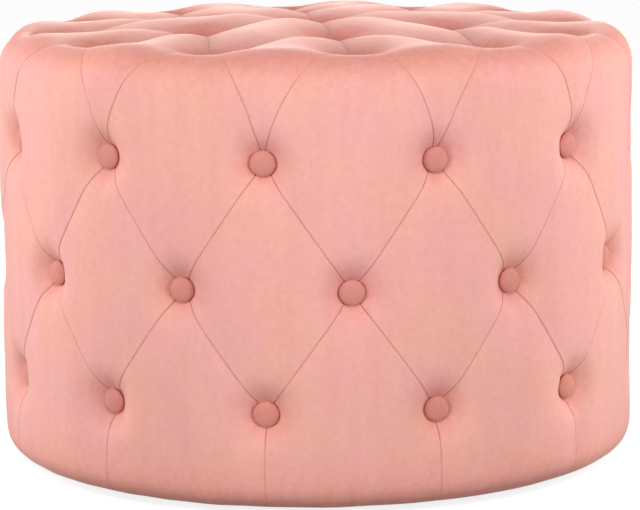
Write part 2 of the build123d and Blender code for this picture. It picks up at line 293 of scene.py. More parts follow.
# where a ring's packed buttons stand: the middle of each back, and the way it faces
def buttonPlaces(node, onTop):
    points = vertexPoints(nodes[node].data)
    turn = np.degrees(np.arctan2(points[:, 0], -points[:, 1])) % 360
    if np.hypot(points[:, 0], points[:, 1]).min() < axisReach:
        groups = [np.arange(len(points))]
    else:
        order = np.argsort(turn)
        breaks = np.flatnonzero(np.diff(turn[order]) > buttonGap)
        turn = (turn - turn[order[breaks[0] + 1]]) % 360
        order = np.argsort(turn)
        groups = np.split(order, np.flatnonzero(np.diff(turn[order]) > buttonGap) + 1)
    places, facings = [], []
    for group in groups:
        middle = (points[group].min(0) + points[group].max(0)) / 2
        facing = np.array([0, 0, 1.0]) if onTop else middle * (1, 1, 0) / np.hypot(*middle[:2])
        back = (points[group] @ facing).min()
        places.append(middle + facing * (back - middle @ facing))
        facings.append(facing)
    return np.array(places), np.array(facings)


ringNodes = ["upper_side", "middle_side", "lower_side", "outer_top", "inner_top", "centre_top"]
rings = {ring: buttonPlaces(ring + "_buttons", ring.endswith("top")) for ring in ringNodes}
coverLow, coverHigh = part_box("velvet_cover")


def heading(point):
    return math.degrees(math.atan2(point[0], -point[1]))


def ringRadius(ring):
    return float(np.hypot(*rings[ring][0][:, :2].T).mean())


def ringHeight(ring):
    return float(rings[ring][0][:, 2].mean())


# the drum under the velvet, in metres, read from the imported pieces
padRise = {"side": mm(1.0), "top": mm(1.5)}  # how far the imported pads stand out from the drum
pouf = {
    "radius": (coverHigh.x - coverLow.x) / 2 - padRise["side"],
    "top": coverHigh.z - padRise["top"],
    "bottom": coverLow.z,
    "rim": mm(40),
    "crown": mm(8),  # how far the padding rises in the middle of the top
    "toe": mm(22),
    "hem": mm(225),
    "perRow": len(rings["middle_side"][0]),
    "tuftAngle": min((heading(p) for p in rings["middle_side"][0]), key=abs),
    "topAngle": min((heading(p) for p in rings["inner_top"][0]), key=abs),
    "upper": ringHeight("upper_side"),
    "middle": ringHeight("middle_side"),
    "lower": ringHeight("lower_side"),
    "outer": ringRadius("outer_top"),
    "inner": ringRadius("inner_top"),
}
print("tufts:", {key: round(float(value), 4) for key, value in pouf.items()})

velvetPads = {
    "sideCrease": mm(1.3), "sideCreaseReach": mm(30),    # how far a crease lies below its pads
    "topCrease": mm(6), "topCreaseReach": mm(40),
    "creaseTurn": 0.7,                                   # how late a crease turns as it goes over the rim
    "creaseSteps": 33,
    "topStart": mm(8), "topBlend": mm(12),               # where the rim gives way to the top
    "wallStart": mm(25), "wallBlend": mm(35),            # and where it gives way to the wall
    "fold": mm(0.6), "foldWidth": mm(0.75), "foldCurve": 1.5,   # the fold itself, narrow and sharp
    "lip": mm(0.3), "lipPlace": mm(1.6),                 # the upper pad laps over the lower one
    "rimFold": 0.2,                                      # share of fold and lip that is left on the rim
    "sideDraw": mm(13.6), "sideReach": mm(33),           # extra depth at a button
    "topSeat": mm(26), "topReach": mm(26),
    "outerHollow": mm(9.5), "outerHollowReach": mm(74),  # wide hollow round each button on the top
    "innerHollow": mm(6), "innerHollowReach": mm(60), "hollowCurve": 1.4,
    "buttonSeat": mm(10.5), "drawCurve": 2.5,
    "pucker": mm(0.35), "puckerClear": mm(4),            # small folds round a button, none on a crease
    "puckerFolds": (5, 9), "puckerShare": 0.7,           # two counts of them, and the share of the second
    "uneven": mm(0.25),                                  # lumps of the stuffing
    "fade": mm(60),                                      # creases run out towards the hem
    "fineMarks": 37, "fineGrading": 2.0,
    "clothMarks": 15, "clothGrading": 1.25,
    "sideSwell": mm(1.5), "topSwell": mm(3.5),           # the most that the cloth may move
}

velvetPaintedShade = {  # painted shade: where the velvet is coloured darker, in hollows, dimples, on the rim, at the toe and along the creases
    # painted shade on a band of the rim and at the toe
    "rimPlace": mm(26), "rimWidth": mm(22), "rim": 0.66,
    "toeWidth": mm(38), "toe": 0.66,
    "wallEase": 0.52,                                    # how much less painted shade the dimples of the wall get
    # painted shade in the wide hollows round the top buttons
    "hollow": 0.9, "hollowCurve": 1.3,
    # painted shade along the creases, more of it near a button
    "creaseWidth": mm(0.42), "creaseFade": 2.5, "topCrease": 0.12,
    "crease": 0.26, "creaseAtButton": 0.4, "buttonGain": 2.2,
}

padCloth = {  # the velvet as cloth under pressure, held at its creases, its buttons and the hem
    "frames": 20, "pressure": 4.0, "quality": 5, "mass": 0.3,
    "tension": 15, "shear": 5, "bending": 0.5,
    "heldCrease": mm(0.05), "heldDimple": 0.7, "heldHem": mm(0.1),
}
mergeReach = mm(0.02)  # points of two pads that are nearer than this are one

pitch = 360.0 / pouf["perRow"]
rimStart = pouf["radius"] - pouf["rim"]
rimEnd = rimStart + pouf["rim"] * math.pi / 2
toeStart = rimEnd + pouf["top"] - pouf["rim"] - pouf["toe"] - pouf["bottom"]
toeEnd = toeStart + pouf["toe"] * math.pi / 2


def crownAt(run):
    return pouf["crown"] * (1 - np.minimum(run / pouf["outer"], 1) ** 2) ** 2


# a point on the drum: run is the way from the middle of the top, over the rim, down to the toe
def onDrum(run, angle, depth):
    rimTurn = np.clip((run - rimStart) / pouf["rim"], 0, math.pi / 2)
    toeTurn = np.clip((run - toeStart) / pouf["toe"], 0, math.pi / 2)
    down = np.clip(run - rimEnd, 0, toeStart - rimEnd)
    out = np.where(run < rimEnd, np.sin(rimTurn), np.cos(toeTurn))
    up = np.where(run < rimEnd, np.cos(rimTurn), -np.sin(toeTurn))
    radius = np.minimum(run, rimStart) + pouf["rim"] * np.sin(rimTurn) - pouf["toe"] * (1 - np.cos(toeTurn))
    height = pouf["top"] + crownAt(run) - pouf["rim"] * (1 - np.cos(rimTurn))
    height = height - down - pouf["toe"] * np.sin(toeTurn)
    radius = radius - depth * out
    turn = np.radians(angle)
    return np.stack([radius * np.sin(turn), -radius * np.cos(turn), height - depth * up], -1)


def sideRun(height):
    return rimEnd + pouf["top"] - pouf["rim"] - height


def flatten(run, angle):
    turn = np.radians(angle)
    return np.stack([run * np.sin(turn), -run * np.cos(turn)], -1)


def roll(spot, nearAngle):
    angle = np.degrees(np.arctan2(spot[..., 0], -spot[..., 1]))
    return np.hypot(spot[..., 0], spot[..., 1]), angle + 360 * np.round((nearAngle - angle) / 360)


# a crease runs straight in plan on the top and evenly by angle on the side
def creaseAt(start, end, share):
    if max(start[0], end[0]) <= rimStart:
        share = share[..., None]
        first, last = (flatten(np.asarray(run), np.asarray(angle)) for run, angle, _ in (start, end))
        return roll((1 - share) * first + share * last, start[1] if start[0] else end[1])
    late = velvetPads["creaseTurn"] if end[0] < rimStart else 0
    turned = (1 - late) * share + late * share ** 2
    return (1 - share) * start[0] + share * end[0], (1 - turned) * start[1] + turned * end[1]


# marks from 0 to 1, closer together towards both ends
def gradedMarks(count, power):
    t = np.linspace(-1, 1, count)
    return 0.5 + 0.5 * np.sign(t) * (1 - (1 - np.abs(t)) ** power)


# pads of the cover, each with its four corners (run, angle, has a button), its creases,
# and how many of these it laps over its neighbour at
def padLayout():
    upper, middle, lower = (sideRun(pouf[row]) for row in ("upper", "middle", "lower"))
    pads = []

    def diamond(a, b, c, d):
        pads.append({"corners": (a, b, c, d), "creases": [(a, b), (a, d), (b, c), (d, c)], "lips": 2})

    for k in range(pouf["perRow"]):
        angle = pouf["tuftAngle"] + k * pitch
        before, after, onward = angle - pitch / 2, angle + pitch / 2, angle + pitch
        midHere, midNext = (middle, angle, 1), (middle, onward, 1)
        upBefore, upAfter = (upper, before, 1), (upper, after, 1)
        lowBefore, lowAfter = (lower, before, 1), (lower, after, 1)
        topHere, topNext = pouf["topAngle"] + k * pitch, pouf["topAngle"] + (k + 1) * pitch
        ringHere, ringNext = (pouf["outer"], topHere, 1), (pouf["outer"], topNext, 1)
        hub = (pouf["inner"], topHere if k % 2 == 0 else topNext, 1)
        toeBefore, toeHere, toeAfter = (toeEnd, before, 0), (toeEnd, angle, 0), (toeEnd, after, 0)
        diamond(lowAfter, midNext, upAfter, midHere)
        diamond(midHere, upAfter, ringHere, upBefore)
        diamond(upAfter, ringNext, hub, ringHere)
        toeCreases = [
            (lowAfter, toeAfter), (lowBefore, toeBefore), (midHere, lowBefore), (midHere, lowAfter)
        ]
        for corners in ((midHere, lowBefore, toeBefore, toeHere), (midHere, toeHere, toeAfter, lowAfter)):
            pads.append({"corners": corners, "creases": toeCreases, "lips": 1})
        if k % 2 == 0:
            diamond(ringNext, (pouf["inner"], topNext + pitch, 1), (0.0, topNext, 1), hub)
    return pads


def onInnerRing(run):
    return run <= pouf["inner"] + mm(1)  # a millimetre allows for rounding


# run and angle all over a pad, blended between its four sides
def padChart(corners, marks):
    a, b, c, d = corners
    u, v = np.meshgrid(marks, marks, indexing="ij")
    inPlan = onInnerRing(min(corner[0] for corner in corners))
    middle = sum(corner[1] for corner in corners) / 4

    def chart(run, angle, *rest):
        run, angle = np.asarray(run, float), np.asarray(angle, float)
        return flatten(run, angle) if inPlan else np.stack([run, angle], -1)

    ab, bc, dc, ad = (
        chart(*creaseAt(*side)) for side in ((a, b, u), (b, c, v), (d, c, u), (a, d, v))
    )
    uu, vv = u[..., None], v[..., None]
    spot = (1 - vv) * ab + uu * bc + vv * dc + (1 - uu) * ad
    spot = spot - (1 - uu) * (1 - vv) * chart(*a) - uu * (1 - vv) * chart(*b)
    spot = spot - uu * vv * chart(*c) - (1 - uu) * vv * chart(*d)
    return roll(spot, middle) if inPlan else (spot[..., 0], spot[..., 1])


def distanceToLine(points, line):
    start, along = line[:-1], np.diff(line, axis=0)
    share = np.einsum("nmk,mk->nm", points[:, None] - start, along) / (along ** 2).sum(1)
    nearest = start + np.clip(share, 0, 1)[..., None] * along
    return np.sqrt(((points[:, None] - nearest) ** 2).sum(-1).min(1))


# a value of the pads that changes from the side to the top
def sideToTop(value, overRim):
    side, top = velvetPads["side" + value], velvetPads["top" + value]
    return side + (top - side) * overRim


# how full a pad is between its creases, how near the nearest crease is, and the lip beside it
def nearCreases(pad, here, reach):
    fullness, lip = np.ones_like(reach), np.zeros_like(reach)
    nearest = np.full_like(reach, 1.0)
    shares = np.linspace(0, 1, velvetPads["creaseSteps"])
    for k, (start, end) in enumerate(pad["creases"]):
        line = onDrum(*creaseAt(start, end, shares), 0 * shares)
        away = distanceToLine(here.reshape(-1, 3), line).reshape(reach.shape)
        fullness *= 1 - np.maximum(0, 1 - away / reach) ** 2
        nearest = np.minimum(nearest, away)
        if k < pad["lips"]:
            part = away / velvetPads["lipPlace"]
            lip += velvetPads["lip"] * part ** 2 * np.exp(2 * (1 - part))
    return fullness, nearest, lip


# small folds that spread from a button, none at its edge and none at the end of its reach
def puckerRound(corner, offset, part, onTop):
    turn = math.radians(corner[1])
    across = np.array([math.cos(turn), math.sin(turn), 0])
    upward = np.array([-math.sin(turn), math.cos(turn), 0]) if onTop else np.array([0, 0, 1.0])
    phi = np.arctan2(offset @ upward, offset @ across)
    phase = (corner[0] * 97 + corner[1] * 0.61) % 6.28  # so that no two buttons fold alike
    few, many = velvetPads["puckerFolds"]
    folds = np.cos(few * phi + phase) + velvetPads["puckerShare"] * np.cos(many * phi + 2.3 * phase)
    return velvetPads["pucker"] * folds * 9.5 * part * (1 - part) ** 3  # 9.5 brings the peak to one


# how full a pad stays beside its buttons, how far they draw it in, their puckers, and their dimples with
# the painted shade of the top hollows
def nearButtons(pad, here, fullness):
    draw, pucker, dimpleAndShade = (np.zeros_like(fullness) for _ in range(3))
    for corner in {corner for crease in pad["creases"] for corner in crease if corner[2]}:
        onTop = corner[0] < rimStart
        offset = here - onDrum(np.array(corner[0]), np.array(corner[1]), np.array(0.0))
        away = np.linalg.norm(offset, axis=-1) - velvetPads["buttonSeat"]
        part = np.clip(away / velvetPads["topReach" if onTop else "sideReach"], 0, 1)
        pull = (1 - part) ** velvetPads["drawCurve"]
        fullness = fullness * (1 - pull)
        dimpleAndShade = np.maximum(dimpleAndShade, pull)
        pucker += puckerRound(corner, offset, part, onTop)
        if onTop:
            kind = "inner" if onInnerRing(corner[0]) else "outer"
            wide = np.clip(1 - away / velvetPads[kind + "HollowReach"], 0, 1)
            hollow = velvetPads[kind + "Hollow"]
            seat = velvetPads["topSeat"] + crownAt(corner[0]) - velvetPads["topCrease"] - hollow
            draw += seat * pull + hollow * wide ** velvetPads["hollowCurve"]
            # painted shade in the wide hollow round a button on the top
            dimpleAndShade = np.maximum(dimpleAndShade, velvetPaintedShade["hollow"] * wide ** velvetPaintedShade["hollowCurve"])
        else:
            draw += velvetPads["sideDraw"] * pull
    return fullness, draw, pucker, dimpleAndShade


# uneven stuffing: waves of some tens of mm that cross each other
def stuffingWave(here):
    x, y, z = (here[..., k] * 1000 for k in range(3))
    return np.sin(x / 17 + z / 29 + 1) * np.sin(y / 19 - z / 23) + 0.6 * np.sin(x / 9 - y / 13 + z / 11)


# a pad's points, and at each how much painted shade its crease gets, how much painted shade
# its dimples, hollows, rim and toe get, whether the simulation holds it, and how far it is over the rim
def padShape(pad, marks, detailed, inset=0.0, lowest=None):
    run, angle = padChart(pad["corners"], marks)
    run = np.minimum(run, lowest or toeEnd)
    here = onDrum(run, angle, 0 * run)
    topWidth = rimStart + velvetPads["topBlend"] - pouf["outer"]
    overRim = np.clip((rimStart + velvetPads["topStart"] - run) / topWidth, 0, 1)
    overRim = overRim ** 2 * (3 - 2 * overRim)
    onWall = np.clip((run - rimStart - velvetPads["wallStart"]) / velvetPads["wallBlend"], 0, 1)
    fade = np.clip((toeEnd - run) / velvetPads["fade"], 0, 1)
    fullness, nearest, lip = nearCreases(pad, here, sideToTop("CreaseReach", overRim))
    fullness, draw, pucker, dimpleAndShade = nearButtons(pad, here, fullness)
    depth = draw + sideToTop("Crease", overRim) * (1 - fullness) * fade
    if detailed:
        fold = np.maximum(0, 1 - nearest / velvetPads["foldWidth"]) ** velvetPads["foldCurve"]
        foldShare = velvetPads["rimFold"] + (1 - velvetPads["rimFold"]) * onWall
        depth = depth + (velvetPads["fold"] * fold - lip * (1 - dimpleAndShade)) * fade * foldShare
        depth = depth + pucker * np.clip(nearest / velvetPads["puckerClear"], 0, 1)
        depth = depth + velvetPads["uneven"] * stuffingWave(here) * fullness
    # painted shade along the crease, stronger near a button, weaker on the top and fading towards the hem
    atButton = np.clip(dimpleAndShade * velvetPaintedShade["buttonGain"], 0, 1)
    creaseShadeStrength = velvetPaintedShade["crease"] + velvetPaintedShade["creaseAtButton"] * atButton
    creaseShadeStrength = creaseShadeStrength * (velvetPaintedShade["topCrease"] + (1 - velvetPaintedShade["topCrease"]) * onWall)
    creaseShadeStrength = creaseShadeStrength * np.clip(fade * velvetPaintedShade["creaseFade"], 0, 1)
    # painted shade on a band of the rim and at the toe
    onRim = np.exp(-((run - rimStart - velvetPaintedShade["rimPlace"]) / velvetPaintedShade["rimWidth"]) ** 2)
    underToe = np.exp(-((toeEnd - run) / velvetPaintedShade["toeWidth"]) ** 2)
    edges = velvetPaintedShade["rim"] * onRim + velvetPaintedShade["toe"] * underToe
    inCrease, inDimple = nearest < padCloth["heldCrease"], dimpleAndShade > padCloth["heldDimple"]
    return {
        "points": onDrum(run, angle, depth + inset),
        "crease": np.exp(-(nearest / velvetPaintedShade["creaseWidth"]) ** 2) * creaseShadeStrength,
        "dimpleAndShade": np.maximum(dimpleAndShade * (1 - velvetPaintedShade["wallEase"] * onWall), edges),
        "held": inCrease | inDimple | (run > toeEnd - padCloth["heldHem"]),
        "overRim": overRim,
    }


# joins grids of points into one mesh, merging the edges that they share
def meshFromGrids(name, grids, attributes):
    points = np.concatenate([grid.reshape(-1, 3) for grid in grids])
    faces, base = [], 0
    for grid in grids:
        rows, columns = grid.shape[:2]
        index = base + np.arange(rows * columns).reshape(rows, columns)
        quads = np.stack([index[:-1, :-1], index[1:, :-1], index[1:, 1:], index[:-1, 1:]], -1)
        faces.append(quads.reshape(-1, 4))
        base += rows * columns
    mesh = bpy.data.meshes.new(name)
    mesh.from_pydata(points.tolist(), [], np.concatenate(faces).tolist())
    for attribute, values in attributes.items():
        layer = mesh.attributes.new(attribute, "FLOAT", "POINT")
        layer.data.foreach_set("value", np.concatenate([v.reshape(-1) for v in values]).astype(np.float32))
    shape = bmesh.new()
    shape.from_mesh(mesh)
    bmesh.ops.remove_doubles(shape, verts=shape.verts, dist=mergeReach)
    bmesh.ops.recalc_face_normals(shape, faces=shape.faces)
    shape.to_mesh(mesh)
    shape.free()
    return mesh


# rows of a natural cubic spline: values at the given marks become values at finer ones
def splineMatrix(marks, fineMarks):
    count = len(marks)
    step = np.diff(marks)
    bend, load = np.eye(count), np.zeros((count, count))
    for k in range(1, count - 1):
        bend[k, k - 1:k + 2] = step[k - 1], 2 * (step[k - 1] + step[k]), step[k]
        load[k, k - 1:k + 2] = 6 / step[k - 1], -6 / step[k - 1] - 6 / step[k], 6 / step[k]
    second = np.linalg.solve(bend, load)
    span = np.clip(np.searchsorted(marks, fineMarks, side="right") - 1, 0, count - 2)
    right = (fineMarks - marks[span]) / step[span]
    left = 1 - right
    unit = np.eye(count)
    straight = left[:, None] * unit[span] + right[:, None] * unit[span + 1]
    curve = (left ** 3 - left)[:, None] * second[span] + (right ** 3 - right)[:, None] * second[span + 1]
    return straight + curve * (step[span] ** 2)[:, None] / 6


# lets the pads swell between their creases as cloth under pressure, and returns how far each point moved
def swellPads(pads, marks):
    shapes = [padShape(pad, marks, False) for pad in pads]
    mesh = meshFromGrids("padSwell", [shape["points"] for shape in shapes], {})
    cloth = addObject("padSwell", mesh)
    tree = kdtree.KDTree(len(mesh.vertices))
    for vertex in mesh.vertices:
        tree.insert(vertex.co, vertex.index)
    tree.balance()
    index = [np.array([tree.find(p)[1] for p in shape["points"].reshape(-1, 3)]) for shape in shapes]
    held = {int(i) for at, shape in zip(index, shapes) for i in at[shape["held"].reshape(-1)]}
    cloth.vertex_groups.new(name="held").add(sorted(held), 1.0, "REPLACE")
    modifier = cloth.modifiers.new("swell", "CLOTH")
    settings = modifier.settings
    settings.quality = padCloth["quality"]
    settings.mass = padCloth["mass"]
    settings.tension_stiffness = settings.compression_stiffness = padCloth["tension"]
    settings.shear_stiffness = padCloth["shear"]
    settings.bending_stiffness = padCloth["bending"]
    settings.use_pressure = True
    settings.uniform_pressure_force = padCloth["pressure"]
    settings.vertex_group_mass = "held"
    settings.effector_weights.gravity = 0
    modifier.collision_settings.use_collision = False
    modifier.point_cache.frame_start, modifier.point_cache.frame_end = 1, padCloth["frames"]
    for number in range(1, padCloth["frames"] + 1):
        scene.frame_set(number)
    swollen = cloth.evaluated_get(bpy.context.evaluated_depsgraph_get()).to_mesh()
    moved = vertexPoints(swollen) - vertexPoints(mesh)
    print("cloth moved at most", round(float(np.linalg.norm(moved, axis=1).max()) * 1000, 2), "mm")
    bpy.data.objects.remove(cloth)
    bpy.data.meshes.remove(mesh)
    scene.frame_set(1)
    swells = []
    for at, shape in zip(index, shapes):
        step = moved[at].reshape(shape["points"].shape)
        most = sideToTop("Swell", shape["overRim"])
        length = np.linalg.norm(step, axis=-1)
        swells.append(step * (most * np.tanh(length / most) / np.maximum(length, 1e-9))[..., None])
    return swells


pads = padLayout()
fineMarks = gradedMarks(velvetPads["fineMarks"], velvetPads["fineGrading"])
clothMarks = gradedMarks(velvetPads["clothMarks"], velvetPads["clothGrading"])
shapes = [padShape(pad, fineMarks, True) for pad in pads]
grids = [shape["points"] for shape in shapes]
spread = splineMatrix(clothMarks, fineMarks)
swells = [np.einsum("ik,klm,jl->ijm", spread, swell, spread) for swell in swellPads(pads, clothMarks)]
grids = [grid + swell for grid, swell in zip(grids, swells)]
coverMesh = meshFromGrids(
    "velvetCover", grids, {look: [shape[look] for shape in shapes] for look in ("crease", "dimpleAndShade")}
)


# goes on from a mesh's open lower edge through rings of (radius, height), and closes it at the last
def closeBelow(mesh, ringsBelow, gathers=0, gatherDepth=0.0):
    shape = bmesh.new()
    shape.from_mesh(mesh)
    edge = [e for e in shape.edges if e.is_boundary]
    print(mesh.name, "open edge:", len(edge), "edges")
    for radius, height in ringsBelow:
        made = bmesh.ops.extrude_edge_only(shape, edges=edge)["geom"]
        edge = [g for g in made if isinstance(g, bmesh.types.BMEdge) and g.is_boundary]
        for vertex in {v for e in edge for v in e.verts}:
            flat = Vector((vertex.co.x, vertex.co.y)).normalized() * radius
            turn = math.atan2(flat.y, flat.x)
            wander = 2 * math.sin(5 * turn)  # gathers are not quite evenly spaced
            drawn = gatherDepth * (0.5 + 0.5 * math.cos(gathers * turn + wander))
            vertex.co = (flat.x, flat.y, height - drawn)
    bmesh.ops.holes_fill(shape, edges=edge, sides=0)
    bmesh.ops.recalc_face_normals(shape, faces=shape.faces)
    shape.to_mesh(mesh)
    shape.free()
    mesh.shade_smooth()


hem = {  # turned under the base and gathered there, through rings of these radii in mm
    "gathers": 84, "gatherDepth": mm(0.7), "inside": mm(1.4), "rings": (268, 262, 255, 247, 240, 232),
}
hemRings = [(mm(radius), pouf["bottom"]) for radius in hem["rings"]]
hemRings += [(pouf["hem"], pouf["bottom"]), (pouf["hem"], pouf["bottom"] + hem["inside"])]
closeBelow(coverMesh, hemRings, hem["gathers"], hem["gatherDepth"])
cover = addObject("velvetCover", coverMesh)
dress(cover, velvet)
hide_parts("velvet_cover")
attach(cover, "root")
print("velvet cover:", len(coverMesh.polygons), "faces")

# fibre wadding under the cover, hollow where the foam goes
fibreLayer = {
    "inset": mm(3.5), "marks": 19, "grading": 1.6,
    "foamClear": mm(0.4), "edge": mm(3), "ceilingRing": mm(60),
}
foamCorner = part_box("top_foam")[1]
foamRadius = foamCorner.x + fibreLayer["foamClear"]
foamTop = foamCorner.z + fibreLayer["foamClear"]
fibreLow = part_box("fibre_wadding")[0].z
fibreEnd = toeStart + pouf["toe"] * math.asin(1 - (fibreLow - pouf["bottom"]) / pouf["toe"])
fibreMarks = gradedMarks(fibreLayer["marks"], fibreLayer["grading"])
fibreShapes = [padShape(pad, fibreMarks, False, fibreLayer["inset"], fibreEnd) for pad in pads]
fibreMesh = meshFromGrids("fibreWadding", [shape["points"] for shape in fibreShapes], {})
closeBelow(fibreMesh, (
    (foamRadius + fibreLayer["edge"], fibreLow), (foamRadius, fibreLow),
    (foamRadius, foamTop), (fibreLayer["ceilingRing"], foamTop),
))
wadding = addObject("fibreWadding", fibreMesh)
dress(wadding, fibre)
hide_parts("fibre_wadding")
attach(wadding, "root")
print("fibre wadding:", len(fibreMesh.polygons), "faces")


# a closed shape turned about Z from a half section of (radius, height, share of the ripple) points
def turned(name, section, segments, ripples, rippleShare):
    shape = bmesh.new()
    ringsMade = []
    for radius, height, share in section:
        if radius == 0:
            ringsMade.append([shape.verts.new((0, 0, height))])
            continue
        ring = []
        for k in range(segments):
            turn = 2 * math.pi * k / segments
            out = radius * (1 + share * rippleShare * math.cos(ripples * turn + 2 * math.sin(turn)))
            ring.append(shape.verts.new((out * math.cos(turn), out * math.sin(turn), height)))
        ringsMade.append(ring)
    for low, high in zip(ringsMade[:-1], ringsMade[1:]):
        for k in range(segments):
            lowHere, lowNext = low[k % len(low)], low[(k + 1) % len(low)]
            highHere, highNext = high[k % len(high)], high[(k + 1) % len(high)]
            shape.faces.new(list(dict.fromkeys([lowHere, lowNext, highNext, highHere])))
    bmesh.ops.recalc_face_normals(shape, faces=shape.faces)
    mesh = bpy.data.meshes.new(name)
    shape.to_mesh(mesh)
    shape.free()
    mesh.shade_smooth()
    return mesh


# Geometry Nodes that set a shape at each place, facing and lying as the place says
def placingTree():
    tree = bpy.data.node_groups.new("setInPlace", "GeometryNodeTree")
    inputs = {"Places": "Geometry", "Shape": "Object", "Spin": "Float", "Seed": "Int", "Finish": "Material"}
    for name, kind in inputs.items():
        tree.interface.new_socket(name, in_out="INPUT", socket_type="NodeSocket" + kind)
    tree.interface.new_socket("Set", in_out="OUTPUT", socket_type="NodeSocketGeometry")
    given = addNode(tree, "NodeGroupInput", {}, {}).outputs
    facing, lying = (
        addNode(tree, "GeometryNodeInputNamedAttribute", {"data_type": "FLOAT_VECTOR"}, {"Name": name})
        for name in ("facing", "lying")
    )
    upright = addNode(
        tree, "FunctionNodeAlignRotationToVector", {"axis": "Z"}, {"Vector": facing.outputs["Attribute"]}
    )
    settled = addNode(
        tree, "FunctionNodeAlignRotationToVector", {"axis": "X", "pivot_axis": "Z"},
        {"Rotation": upright.outputs[0], "Vector": lying.outputs["Attribute"]},
    )
    chance = addNode(
        tree, "FunctionNodeRandomValue", {"data_type": "FLOAT"},
        {2: 0.0, 3: given["Spin"], "Seed": given["Seed"]},
    )
    spin = addNode(
        tree, "FunctionNodeAxisAngleToRotation", {}, {"Axis": (0, 0, 1), "Angle": chance.outputs[1]}
    )
    way = addNode(
        tree, "FunctionNodeRotateRotation", {"rotation_space": "LOCAL"},
        {0: settled.outputs[0], 1: spin.outputs[0]},
    )
    shape = addNode(tree, "GeometryNodeObjectInfo", {}, {"Object": given["Shape"]})
    spread = addNode(
        tree, "GeometryNodeInstanceOnPoints", {},
        {"Points": given["Places"], "Instance": shape.outputs["Geometry"], "Rotation": way.outputs[0]},
    )
    solid = addNode(tree, "GeometryNodeRealizeInstances", {}, {0: spread.outputs[0]})
    finished = addNode(
        tree, "GeometryNodeSetMaterial", {}, {"Geometry": solid.outputs[0], "Material": given["Finish"]}
    )
    addNode(tree, "NodeGroupOutput", {}, {0: finished.outputs[0]})
    return tree


setInPlace = placingTree()


def setAt(name, places, facings, lyings, shape, spin, seed, finish):
    mesh = bpy.data.meshes.new(name)
    mesh.from_pydata([tuple(p) for p in places], [], [])
    for attribute, vectors in (("facing", facings), ("lying", lyings)):
        layer = mesh.attributes.new(attribute, "FLOAT_VECTOR", "POINT")
        layer.data.foreach_set("vector", np.asarray(vectors, np.float32).reshape(-1))
    obj = addObject(name, mesh)
    modifier = obj.modifiers.new("setInPlace", "NODES")
    modifier.node_group = setInPlace
    values = {"Shape": shape, "Spin": spin, "Seed": seed, "Finish": finish}
    for item in setInPlace.interface.items_tree:
        if item.name in values:
            modifier[item.identifier] = values[item.name]
    bpy.context.view_layer.update()
    made = bpy.data.meshes.new_from_object(obj.evaluated_get(bpy.context.evaluated_depsgraph_get()))
    obj.modifiers.remove(modifier)
    obj.data = made
    made.name = name
    return obj


# covered buttons: velvet drawn tight over a shallow cap and tucked behind it
coveredButton = {
    "radius": mm(11.4), "edge": mm(2.6), "dome": mm(4.8), "faceCurve": 0.82, "domeCurve": 0.95,
    "back": mm(5), "tuck": 0.86, "tuckHeight": mm(1.5), "tuckRipple": 0.8,
    "steps": 11, "segments": 44, "ripples": 11, "rippleShare": 0.012, "spin": 6.28,
}
tuckRadius = coveredButton["radius"] * coveredButton["tuck"]
capSection = [
    (0, 0.0, 0), (coveredButton["back"], 0.0, 0),
    (tuckRadius, coveredButton["tuckHeight"], coveredButton["tuckRipple"]),
]
for share in np.linspace(0, 1, coveredButton["steps"]):
    turn = share * math.pi / 2
    capSection.append((
        coveredButton["radius"] * math.cos(turn) ** coveredButton["faceCurve"] if share < 1 else 0,
        coveredButton["edge"] + coveredButton["dome"] * math.sin(turn) ** coveredButton["domeCurve"],
        (1 - share) ** 3,
    ))
buttonMesh = turned(
    "buttonShape", capSection,
    coveredButton["segments"], coveredButton["ripples"], coveredButton["rippleShare"],
)
buttonShape = addObject("buttonShape", buttonMesh)
for number, ring in enumerate(ringNodes):
    places, facings = rings[ring]
    lyings = [(0, 0, 1) if abs(f[2]) < 0.5 else (1, 0, 0) for f in facings]
    row, face = ring.split("_")
    buttons = setAt(
        row + face.capitalize() + "Buttons", places, facings, lyings,
        buttonShape, coveredButton["spin"], number, buttonVelvet,
    )
    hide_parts(ring + "_buttons")
    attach(buttons, "root")
bpy.data.objects.remove(buttonShape)
print("buttons set in", len(ringNodes), "rings")

# dust cloth pulled tight across the underside, a little drawn at its staples
dustCloth = {
    "staples": 44, "stapleInset": mm(6), "rings": 16, "perStaple": 4,
    "pucker": mm(0.12), "puckerCurve": 6,
}
clothLow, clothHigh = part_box("dust_cloth")
clothRadius, clothHeight = clothHigh.x, (clothLow.z + clothHigh.z) / 2
around = dustCloth["staples"] * dustCloth["perStaple"]
clothShape = bmesh.new()
middle = clothShape.verts.new((0, 0, clothHeight))
clothRings = []
for k in range(1, dustCloth["rings"] + 1):
    share = math.sin(k / dustCloth["rings"] * math.pi / 2)
    pucker = dustCloth["pucker"] * share ** dustCloth["puckerCurve"]
    ring = []
    for j in range(around):
        turn = 2 * math.pi * j / around
        drawn = pucker * math.cos(dustCloth["staples"] * turn)
        out = clothRadius * share
        ring.append(clothShape.verts.new((out * math.cos(turn), out * math.sin(turn), clothHeight + drawn)))
    clothRings.append(ring)
for j in range(around):
    clothShape.faces.new((middle, clothRings[0][(j + 1) % around], clothRings[0][j]))
    for inside, outside in zip(clothRings[:-1], clothRings[1:]):
        clothShape.faces.new((inside[j], inside[(j + 1) % around], outside[(j + 1) % around], outside[j]))
clothMesh = bpy.data.meshes.new("dustCloth")
clothShape.to_mesh(clothMesh)
clothShape.free()
clothMesh.shade_smooth()
dust = addObject("dustCloth", clothMesh)
dress(dust, spunbond)
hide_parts("dust_cloth")
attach(dust, "root")

